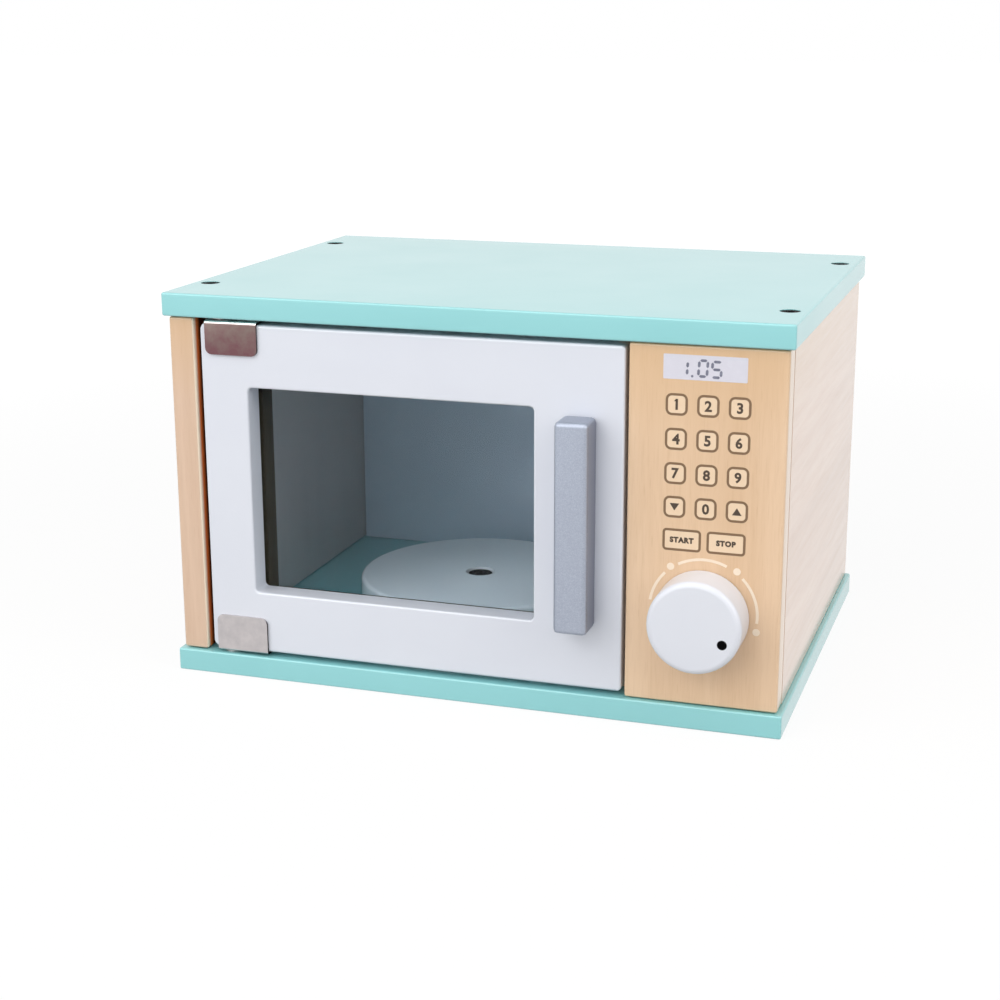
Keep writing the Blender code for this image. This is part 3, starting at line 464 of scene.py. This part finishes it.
# Each digit's box, left, low, right, high, and which of its seven bars are on.
DIGITS = (
    ((0.0736, 0.1172, 0.0736, 0.1216), "bc"),
    ((0.0772, 0.1171, 0.0799, 0.1221), "abcdef"),
    ((0.0814, 0.1170, 0.0843, 0.1219), "afgcd"),
)
POINT = (0.0753, 0.1170)
POINT_RADIUS = 0.0004
NEARLY_ROUND = 0.9


def bar(print_mesh, start, end):
    """One bar of a digit, pointed at both ends and shortened by the gap."""
    start, end = Vector(start), Vector(end)
    along = (end - start).normalized()
    across = Vector((-along.y, along.x)) * BAR_WIDTH / 2
    start, end = start + along * BAR_GAP, end - along * BAR_GAP
    tip = along * BAR_WIDTH / 2
    one_side = (start, start + tip - across, end - tip - across)
    other_side = (end, end - tip + across, start + tip + across)
    slab(print_mesh, [tuple(point) for point in one_side + other_side], BAR_RISE)


bars = bmesh.new()
for (left, low, right, high), lit in DIGITS:
    middle = (low + high) / 2
    lean = {height: (height - low) * DIGIT_LEAN for height in (low, middle, high)}
    ends = {
        "a": ((left + lean[high], high), (right + lean[high], high)),
        "b": ((right + lean[middle], middle), (right + lean[high], high)),
        "c": ((right, low), (right + lean[middle], middle)),
        "d": ((left, low), (right, low)),
        "e": ((left, low), (left + lean[middle], middle)),
        "f": ((left + lean[middle], middle), (left + lean[high], high)),
        "g": ((left + lean[middle], middle), (right + lean[middle], middle)),
    }
    for key in lit:
        bar(bars, *ends[key])
slab(bars, spot_outline(*POINT, POINT_RADIUS, NEARLY_ROUND), BAR_RISE)
show_print("display_digits", bars, screen_ink("digit_ink", BAR_GREY, BAR_FADED))


# Printed keys
# Twelve square keys and two long ones, each a rounded brown outline round a paler field, with a bold
# figure, arrow or word in a darker ink. All are screen printed.

KEY_COLUMNS = (0.0706, 0.08065, 0.09065)
KEY_ROWS = (0.10775, 0.09663, 0.0855, 0.0745)
KEY_SIZE = 0.0071
KEY_CORNER = 0.0020
KEY_LINE = 0.00078
KEY_RISE = 0.00005
FIELD_RISE = 0.00002
FIGURE_HEIGHT = 0.0035
FIGURE_WEIGHT = 0.00012
KEY_FIGURES = (("1", "2", "3"), ("4", "5", "6"), ("7", "8", "9"), ("down", "0", "up"))
ARROW_WIDTH = 0.0031
ARROW_HEIGHT = 0.0024
LONG_KEYS = (("START", 0.0732, 0.0637), ("STOP", 0.0875, 0.0637))
LONG_KEY_SIZE = (0.0125, 0.0073)
LONG_KEY_CORNER = 0.0013
WORD_HEIGHT = 0.00195
WORD_WEIGHT = 0.00013
WORD_SPACING = 1.16
ONE_FLAG = (0.0007, 0.0009, 0.00045)
INK_BROWN = (124, 98, 72)
INK_BROWN_FADED = (128, 100, 78)
INK_DARK = (70, 57, 46)
INK_DARK_FADED = (98, 80, 64)
FIELD_PALE = (234, 207, 176)
FIELD_WORN = (230, 200, 167)
FIELD_OVERLAP = 0.2
TYPE_STEPS = 3
TYPE_DEPTH = 0.5
TYPE_WELD = 0.000002


def frame_line(print_mesh, outer, inner, rise, closed=True):
    """A printed line between two outlines with the same number of points."""
    loops = []
    for outline in (outer, inner):
        for depth in (PANEL_FACE + INK_ROOT, PANEL_FACE - rise):
            loops.append([print_mesh.verts.new((x, depth, z)) for x, z in outline])
    outer_back, outer_front, inner_back, inner_front = loops
    count = len(outer)
    for i in range(count if closed else count - 1):
        j = (i + 1) % count
        for a, b in ((outer_back, outer_front), (outer_front, inner_front), (inner_front, inner_back),
                     (inner_back, outer_back)):
            print_mesh.faces.new((a[i], a[j], b[j], b[i]))
    if not closed:
        for i in (0, count - 1):
            print_mesh.faces.new((outer_back[i], outer_front[i], inner_front[i], inner_back[i]))


def type_set(print_mesh, text, centre, height, weight, rise, spacing=1.0):
    """A figure or word in plain bold type, stood up on the panel round its centre."""
    curve = bpy.data.curves.new("type", "FONT")
    curve.body = text
    curve.offset = weight / height
    curve.extrude = TYPE_DEPTH
    curve.space_character = spacing
    curve.resolution_u = TYPE_STEPS
    setting = bpy.data.objects.new("type", curve)
    scene.collection.objects.link(setting)
    bpy.context.view_layer.update()
    mesh = bpy.data.meshes.new_from_object(setting.evaluated_get(bpy.context.evaluated_depsgraph_get()))
    corners = [vertex.co for vertex in mesh.vertices]
    low = Vector([min(c[i] for c in corners) for i in range(3)])
    high = Vector([max(c[i] for c in corners) for i in range(3)])
    size = height / (high.y - low.y)
    for vertex in mesh.vertices:
        x, y, z = vertex.co - (low + high) / 2
        depth = -rise if z > 0 else INK_ROOT
        vertex.co = (centre[0] + x * size, PANEL_FACE + depth, centre[1] + y * size)
    letters = bmesh.new()
    letters.from_mesh(mesh)
    bmesh.ops.remove_doubles(letters, verts=letters.verts, dist=TYPE_WELD)
    letters.to_mesh(mesh)
    letters.free()
    print_mesh.from_mesh(mesh)
    bpy.data.objects.remove(setting)
    bpy.data.meshes.remove(mesh)


def key_outline(x, z, size, corner, inset=0.0):
    half_width, half_height = size[0] / 2 - inset, size[1] / 2 - inset
    return rounded_box(x - half_width, z - half_height, x + half_width, z + half_height, corner - inset)


lines, figures, fields = bmesh.new(), bmesh.new(), bmesh.new()
keys = [(x, z, (KEY_SIZE, KEY_SIZE), KEY_CORNER) for z in KEY_ROWS for x in KEY_COLUMNS]
keys += [(x, z, LONG_KEY_SIZE, LONG_KEY_CORNER) for word, x, z in LONG_KEYS]
for x, z, size, corner in keys:
    inner = key_outline(x, z, size, corner, KEY_LINE)
    frame_line(lines, key_outline(x, z, size, corner), inner, KEY_RISE)
    slab(fields, key_outline(x, z, size, corner, KEY_LINE * (1 - FIELD_OVERLAP)), FIELD_RISE)
for row, z in zip(KEY_FIGURES, KEY_ROWS):
    for figure, x in zip(row, KEY_COLUMNS):
        if figure in ("up", "down"):
            lift = ARROW_HEIGHT / 2 if figure == "up" else -ARROW_HEIGHT / 2
            left, right = x - ARROW_WIDTH / 2, x + ARROW_WIDTH / 2
            slab(figures, [(left, z - lift), (right, z - lift), (x, z + lift)], KEY_RISE)
        else:
            type_set(figures, figure, (x, z), FIGURE_HEIGHT, FIGURE_WEIGHT, KEY_RISE)
        if figure == "1":
            out, drop, thick = ONE_FLAG
            top = z + FIGURE_HEIGHT / 2
            flag = [(x, top), (x - out, top - drop + thick), (x - out, top - drop), (x, top - thick)]
            slab(figures, flag, KEY_RISE)
for word, x, z in LONG_KEYS:
    type_set(figures, word, (x, z), WORD_HEIGHT, WORD_WEIGHT, KEY_RISE, WORD_SPACING)
show_print("key_outlines", lines, screen_ink("key_ink", INK_BROWN, INK_BROWN_FADED))
show_print("key_figures", figures, screen_ink("figure_ink", INK_DARK, INK_DARK_FADED))
show_print("key_fields", fields, screen_ink("field_ink", FIELD_PALE, FIELD_WORN))


# Printed knob scale
# Three cream arcs and four cream dots in a ring round the knob. They are screen printed on the
# panel before the knob goes on.

SCALE_CENTRE = (0.08068, 0.0402)
SCALE_RADIUS = 0.0176
DOT_RING = 0.0181
SCALE_LINE = 0.0009
SCALE_DOT = 0.0012
SCALE_RISE = 0.00005
SCALE_ARCS = ((171.4, 136), (118.5, 65.5), (45, -6.6))
SCALE_DOTS = (205, 127, 54, -16)
SCALE_CREAM = (240, 222, 200)
SCALE_THIN = (234, 212, 186)
DOT_ROUNDNESS = 0.98
ARC_STEPS = 24


def ring_point(radius, angle):
    return SCALE_CENTRE[0] + radius * math.cos(angle), SCALE_CENTRE[1] + radius * math.sin(angle)


scale_mesh = bmesh.new()
for start, end in SCALE_ARCS:
    edges = []
    for radius in (SCALE_RADIUS + SCALE_LINE / 2, SCALE_RADIUS - SCALE_LINE / 2):
        angles = [math.radians(start + (end - start) * i / ARC_STEPS) for i in range(ARC_STEPS + 1)]
        edges.append([ring_point(radius, angle) for angle in angles])
    frame_line(scale_mesh, *edges, SCALE_RISE, closed=False)
for degrees in SCALE_DOTS:
    place = ring_point(DOT_RING, math.radians(degrees))
    slab(scale_mesh, spot_outline(*place, SCALE_DOT, DOT_ROUNDNESS), SCALE_RISE)
show_print("knob_scale", scale_mesh, screen_ink("cream_ink", SCALE_CREAM, SCALE_THIN))


# Turntable
# A turned wooden disc, 90 mm across, rolled white and rounded at its rim. It turns on a washer,
# round one black screw that goes through its counterbored middle into the base board.

DISC_WHITE = (250, 250, 249)
DISC_DEEP = (244, 245, 245)
DISC_THIN = (253, 253, 251)

finish_piece("turntable", rolled_paint("turntable_paint", DISC_WHITE, DISC_DEEP, DISC_THIN))
finish_piece("turntable_screw", black_steel("turntable_steel"))


# Small metal parts
# Nickel plated steel from the hardware shop: bushes and pins of the hinge, washers, the screws of
# clips, handle and knob, and the magnet with its strike.

NICKEL = (186, 181, 180)
NICKEL_DARK = (150, 145, 144)
NICKEL_BRIGHT = (222, 219, 217)
NICKEL_SHEEN = (0.28, 0.36)
BRUSH_MARKS = 1500
BRUSHED_ALONG = (0.03, 1, 1)
BRUSH_DEPTH = 0.000015
DULL_PATCHES = 240
NICKEL_EDGE = 0.0004


def plated_metal(name, card, dull, side_shade=None, bend=None, fade=None):
    """Brushed nickel plate with dull patches, and rubbed edges or painted shade and highlight."""
    metal = Finish(name, card, {"Metallic": 1.0, "Roughness": 0.3})
    brushed = metal.cloud(metal.place(BRUSHED_ALONG), BRUSH_MARKS, detail=3, rough=0.7)
    clouds = metal.cloud(metal.place(), DULL_PATCHES, detail=5, rough=0.6)
    share = metal.spread(clouds, 0.35, 0.65)
    if fade:
        share = metal.join("MULTIPLY", metal.join("ADD", metal.spread(metal.run("Z"), *fade), share), 0.6)
    colour = metal.lay(share, card, dull)
    if side_shade:
        # Painted highlight where the bend turns upwards, painted shade on the faces turned to the right.
        colour = metal.lay(metal.facing((0, 0, 1), 0.2, 0.5), colour, bend)
        colour = metal.lay(metal.facing((1, 0, 0)), colour, side_shade)
    else:
        patches = metal.spread(clouds, 0.3, 0.6, 0.35, 0.9)
        bright = metal.join("MULTIPLY", metal.edges(NICKEL_EDGE), patches)
        colour = metal.lay(bright, colour, NICKEL_BRIGHT)
    metal.apply(
        Base_Color=colour,
        Roughness=metal.spread(brushed, 0.25, 0.75, *NICKEL_SHEEN),
        Normal=metal.relief(brushed, BRUSH_DEPTH, 0.5),
    )
    return metal.material


nickel = plated_metal("nickel", NICKEL, NICKEL_DARK)
for name in ("hinge_bush_upper", "hinge_bush_lower", "catch_magnet", "door_strike", "turntable_washer",
             "knob_washer", "knob_screw", "handle_screw_upper", "handle_screw_lower", "hinge_pin_upper",
             "hinge_pin_lower", "clip_screw_upper", "clip_screw_lower"):
    finish_piece(name, nickel)


# Door
# A 9 mm board with its window cut out and all edges rounded over, rolled white. It hangs on two
# metal clips, with a millimetre or two of air all round.

DOOR_WHITE = (219, 222, 230)
DOOR_DEEP = (215, 218, 227)
# The rounded edges are coloured near white: a painted highlight.
DOOR_EDGE_HIGHLIGHT = (250, 247, 249)
DOOR_HIGHLIGHT_SHARE = (0.45, 0.8)

finish_piece("door_panel", rolled_paint("door_paint", DOOR_WHITE, DOOR_DEEP, DOOR_EDGE_HIGHLIGHT, DOOR_HIGHLIGHT_SHARE))


# Window
# A 2 mm sheet of smoke grey acrylic lies against the back of the door. Four rebated wooden beads
# are glued on round it, two upright ones and two narrower ones between them. Their dark brown
# is painted shade, for the shade they lie in behind the door.

SMOKE_GREY = (241, 249, 255)
SMOKE_GREY_DULL = (237, 246, 254)
SMOKE_PER_FACE = (248, 252, 255)
# Painted shade: the beads are coloured as dark as the shade they lie in.
BEAD_SHADE = (56, 43, 14)
BEAD_SHADE_DEEP = (42, 32, 11)
BEAD_SHADE_FLECK = (24, 18, 6)
WIPED_PATCHES = 60
WIPED_ALONG = (1, 1, 0.3)
PANE_SHEEN = (0.015, 0.05)

clear_plastic = {"Roughness": 0.03, "IOR": 1.2, "Transmission Weight": 1.0, "Specular IOR Level": 0.5}
pane = Finish("grey_acrylic", SMOKE_GREY, clear_plastic)
wiped = pane.cloud(pane.place(WIPED_ALONG), WIPED_PATCHES, detail=4, rough=0.6)
pane.apply(
    Base_Color=pane.lay(pane.spread(wiped, 0.3, 0.8), SMOKE_GREY, SMOKE_GREY_DULL),
    Roughness=pane.spread(wiped, 0.35, 0.8, *PANE_SHEEN),
)
clear = pane.add("BsdfTransparent", {0: (*tint(SMOKE_PER_FACE), 1)})
shadow = pane.add("LightPath").outputs["Is Shadow Ray"]
both = pane.add("MixShader", {0: shadow, 1: pane.shader.outputs[0], 2: clear.outputs[0]})
pane.tree.links.new(both.outputs[0], pane.tree.nodes["Material Output"].inputs["Surface"])
finish_piece("door_pane", pane.material)

shaded_bead_wood = (BEAD_SHADE, BEAD_SHADE_DEEP, BEAD_SHADE_FLECK)
upright_bead = planed_wood("bead_shade_upright", *shaded_bead_wood, ALONG_Z, varnish=0)
level_bead = planed_wood("bead_shade_level", *shaded_bead_wood, ALONG_X, varnish=0)
for name in ("bead_left", "bead_right"):
    finish_piece(name, upright_bead)
for name in ("bead_top", "bead_bottom"):
    finish_piece(name, level_bead)


# Handle
# A square bar of wood sprayed with silver paint that has coarse metal flakes in it. Two screws
# from the back of the door hold it.

SILVER = (162, 168, 181)
SILVER_DARK = (152, 158, 171)
# Bright silver for the flakes, and on the edges a painted highlight.
SILVER_FLAKE_AND_HIGHLIGHT = (196, 202, 214)
SILVER_SHADE = (122, 124, 137)
SILVER_SHEEN = (0.47, 0.57)
SILVER_PATCHES = 180
SILVER_HIGHLIGHT_REACH = 0.0006
FLAKES = 4200
SPRAY_GRAIN = 1900
SPRAY_DEPTH = 0.00003

silver = Finish("silver_flake_paint", SILVER, {"Metallic": 0.92, "Roughness": 0.45})
spot = silver.place()
flakes = silver.add("TexVoronoi", {"Vector": spot, "Scale": FLAKES}).outputs["Color"]
flake = silver.add("SeparateColor", {0: flakes}).outputs[0]
patches = silver.spread(silver.cloud(spot, SILVER_PATCHES, detail=4), 0.3, 0.7, 0.1, 0.45)
colour = silver.lay(silver.spread(flake, 0.0, 0.6), SILVER_DARK, SILVER)
colour = silver.lay(silver.spread(flake, 0.8, 1.0, 0.0, 0.25), colour, SILVER_FLAKE_AND_HIGHLIGHT)
# Pale edges: partly rubbed paint, partly a painted highlight.
colour = silver.lay(silver.join("MULTIPLY", silver.edges(SILVER_HIGHLIGHT_REACH), patches), colour, SILVER_FLAKE_AND_HIGHLIGHT)
front, back = (corner.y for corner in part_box("door_handle"))
shaded = silver.spread(silver.run("Y"), front, back, 0.1, 0.9)
towards_door = silver.join("MULTIPLY", silver.facing((1, 0, 0)), shaded)
silver.apply(
    Base_Color=silver.lay(towards_door, colour, SILVER_SHADE),
    Roughness=silver.spread(flake, 0.0, 1.0, *SILVER_SHEEN),
    Normal=silver.relief(silver.cloud(spot, SPRAY_GRAIN, detail=3, rough=0.6), SPRAY_DEPTH, 0.5),
)
finish_piece("door_handle", silver.material)


# Hinge clips
# Two strips of nickel plated steel bent round the door's left corners, one above and one below. The
# upper one is brown and mottled, redder towards the bottom, the lower one is pale.

UPPER_CLIP_BROWN = (122, 107, 102)
UPPER_CLIP_RED = (112, 80, 84)
RED_HEIGHT = (0.1235, 0.1155)
PALE_NICKEL = (200, 194, 194)
PALE_NICKEL_DULL = (186, 181, 182)
# Painted shade on the clips' faces turned to the right, and a painted highlight on the upper bend.
SIDE_PAINTED_SHADE = (62, 54, 54)
BEND_HIGHLIGHT = (250, 248, 246)

brown_nickel = plated_metal("nickel_brown", UPPER_CLIP_BROWN, UPPER_CLIP_RED, SIDE_PAINTED_SHADE, BEND_HIGHLIGHT, RED_HEIGHT)
pale = plated_metal("nickel_pale", PALE_NICKEL, PALE_NICKEL_DULL, SIDE_PAINTED_SHADE, PALE_NICKEL)
finish_piece("hinge_clip_upper", brown_nickel)
finish_piece("hinge_clip_lower", pale)


# Knob
# Turned from one piece of wood, rolled white, its front edge rounded over. A black pointer dot is
# printed near the rim, and one screw from behind lets it turn.

KNOB_WHITE = (222, 224, 231)
KNOB_DEEP = (215, 218, 226)
# The rim is coloured near white: a painted highlight on the rounded rim.
KNOB_RIM_HIGHLIGHT = (250, 250, 252)
KNOB_RIM_SHARE = (0.1, 0.3)
KNOB_COAT = 0.3
DOT_PLACE = (0.0898, 0.0346)
DOT_RADIUS = 0.0016
DOT_SOFT = 0.00008
DOT_BLACK = (12, 11, 12)


def pointer_dot(paint):
    """1 on the printed dot, and its colour."""
    centre = (DOT_PLACE[0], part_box("knob")[0].y, DOT_PLACE[1])
    spot = paint.add("TexCoord").outputs["Object"]
    away = paint.add("VectorMath", {0: spot, 1: centre}, operation="DISTANCE").outputs["Value"]
    return paint.spread(away, DOT_RADIUS + DOT_SOFT, DOT_RADIUS - DOT_SOFT), DOT_BLACK


knob_card = (KNOB_WHITE, KNOB_DEEP, KNOB_RIM_HIGHLIGHT)
finish_piece("knob", rolled_paint("knob_paint", *knob_card, KNOB_RIM_SHARE, KNOB_COAT, pointer_dot))


# Studio
# A white table that runs on into a white backdrop, with large soft boxes at the left, in front, at
# the right and overhead.

FLOOR_REACH = 6.0
FLOOR_GAP = 0.0001
FLOOR_GLOW = 0.85
GLOW_STRENGTH = 1.08
FLOOR_WHITE = 0.5
SHADOW_REACH = (0.25, 1.1)
SKY_LEVEL = 0.27
LAMPS = (
    ("soft_box_left", (-0.6, -0.95, 0.5), (1.6, 0.9), 7.2),
    ("soft_box_front", (-0.4, -1.1, 1.2), (1.0, 1.0), 1.9),
    ("soft_box_right", (0.95, -0.3, 0.5), (0.7, 0.7), 4.3),
    ("soft_box_above", (0.0, -0.62, 1.2), (2.4, 1.8), 14.3),
)
AIM = (0.0, 0.0, 0.07)


def white_rays(tree):
    """1 for rays that show the background: straight from the camera, or by way of metal or glass."""
    rays = tree.nodes.new("ShaderNodeLightPath")
    share = rays.outputs["Is Camera Ray"]
    for name in ("Is Glossy Ray", "Is Transmission Ray"):
        either = tree.nodes.new("ShaderNodeMath")
        either.operation = "MAXIMUM"
        tree.links.new(share, either.inputs[0])
        tree.links.new(rays.outputs[name], either.inputs[1])
        share = either.outputs[0]
    return share


def mix_by_rays(tree, lit, plain_white, output, level=None):
    """Shows plain white to those rays, by a level where one is given, and the lit surface to others."""
    share = white_rays(tree)
    if level:
        part = tree.nodes.new("ShaderNodeMath")
        part.operation = "MULTIPLY"
        tree.links.new(share, part.inputs[0])
        tree.links.new(level, part.inputs[1])
        share = part.outputs[0]
    mix = tree.nodes.new("ShaderNodeMixShader")
    tree.links.new(share, mix.inputs[0])
    tree.links.new(lit.outputs[0], mix.inputs[1])
    tree.links.new(plain_white.outputs[0], mix.inputs[2])
    tree.links.new(mix.outputs[0], output.inputs["Surface"])


floor_mesh = bpy.data.meshes.new("floor")
corners = [(x * FLOOR_REACH, y * FLOOR_REACH, 0) for x, y in ((-1, -1), (1, -1), (1, 1), (-1, 1))]
floor_mesh.from_pydata(corners, [], [(0, 1, 2, 3)])
floor = bpy.data.objects.new("floor", floor_mesh)
floor.location.z = -FLOOR_GAP
scene.collection.objects.link(floor)
floor_white = bpy.data.materials.new("floor_white")
floor_white.use_nodes = True
tree = floor_white.node_tree
tree.nodes.remove(tree.nodes["Principled BSDF"])
matt = tree.nodes.new("ShaderNodeBsdfDiffuse")
matt.inputs["Color"].default_value = (FLOOR_WHITE, FLOOR_WHITE, FLOOR_WHITE, 1)
glow = tree.nodes.new("ShaderNodeEmission")
glow.inputs["Strength"].default_value = GLOW_STRENGTH
distance = tree.nodes.new("ShaderNodeVectorMath")
distance.operation = "LENGTH"
tree.links.new(tree.nodes.new("ShaderNodeTexCoord").outputs["Object"], distance.inputs[0])
fade = tree.nodes.new("ShaderNodeMapRange")
fade.interpolation_type = "SMOOTHSTEP"
for socket, value in zip(("From Min", "From Max", "To Min"), (*SHADOW_REACH, FLOOR_GLOW)):
    fade.inputs[socket].default_value = value
tree.links.new(distance.outputs["Value"], fade.inputs["Value"])
mix_by_rays(tree, matt, glow, tree.nodes["Material Output"], fade.outputs["Result"])
floor_mesh.materials.append(floor_white)

world = bpy.data.worlds.new("studio")
scene.world = world
world.use_nodes = True
tree = world.node_tree
dim = tree.nodes["Background"]
dim.inputs["Color"].default_value = (1, 1, 1, 1)
dim.inputs["Strength"].default_value = SKY_LEVEL
bright = tree.nodes.new("ShaderNodeBackground")
bright.inputs["Color"].default_value = (1, 1, 1, 1)
mix_by_rays(tree, dim, bright, tree.nodes["World Output"])

for name, place, (width, height), power in LAMPS:
    lamp = bpy.data.lights.new(name, "AREA")
    lamp.shape = "RECTANGLE"
    lamp.size = width
    lamp.size_y = height
    lamp.energy = power
    stand = bpy.data.objects.new(name, lamp)
    scene.collection.objects.link(stand)
    stand.location = place
    stand.rotation_euler = (Vector(AIM) - Vector(place)).to_track_quat("-Z", "Y").to_euler()

scene.view_settings.view_transform = "Standard"


# Camera
# It stands in front of the toy, to its right and above its top board, and looks down to the left,
# so that the front, the top and the right side show.

CAMERA_PLACE = (0.19383, -0.63072, 0.23148)
CAMERA_AHEAD = (-0.30110, 0.91612, -0.26470)
CAMERA_RIGHT = (0.95026, 0.31145, -0.00303)
CAMERA_LENS = 66.29
CAMERA_NEAR = 0.01

camera = bpy.data.cameras.new("camera")
camera.lens = CAMERA_LENS
camera.clip_start = CAMERA_NEAR
tripod = bpy.data.objects.new("camera", camera)
scene.collection.objects.link(tripod)
ahead = Vector(CAMERA_AHEAD).normalized()
right = Vector(CAMERA_RIGHT)
up = right.cross(ahead).normalized()
right = ahead.cross(up)
turn = Matrix((right, up, -ahead)).transposed().to_4x4()
tripod.matrix_world = Matrix.Translation(CAMERA_PLACE) @ turn
scene.camera = tripod
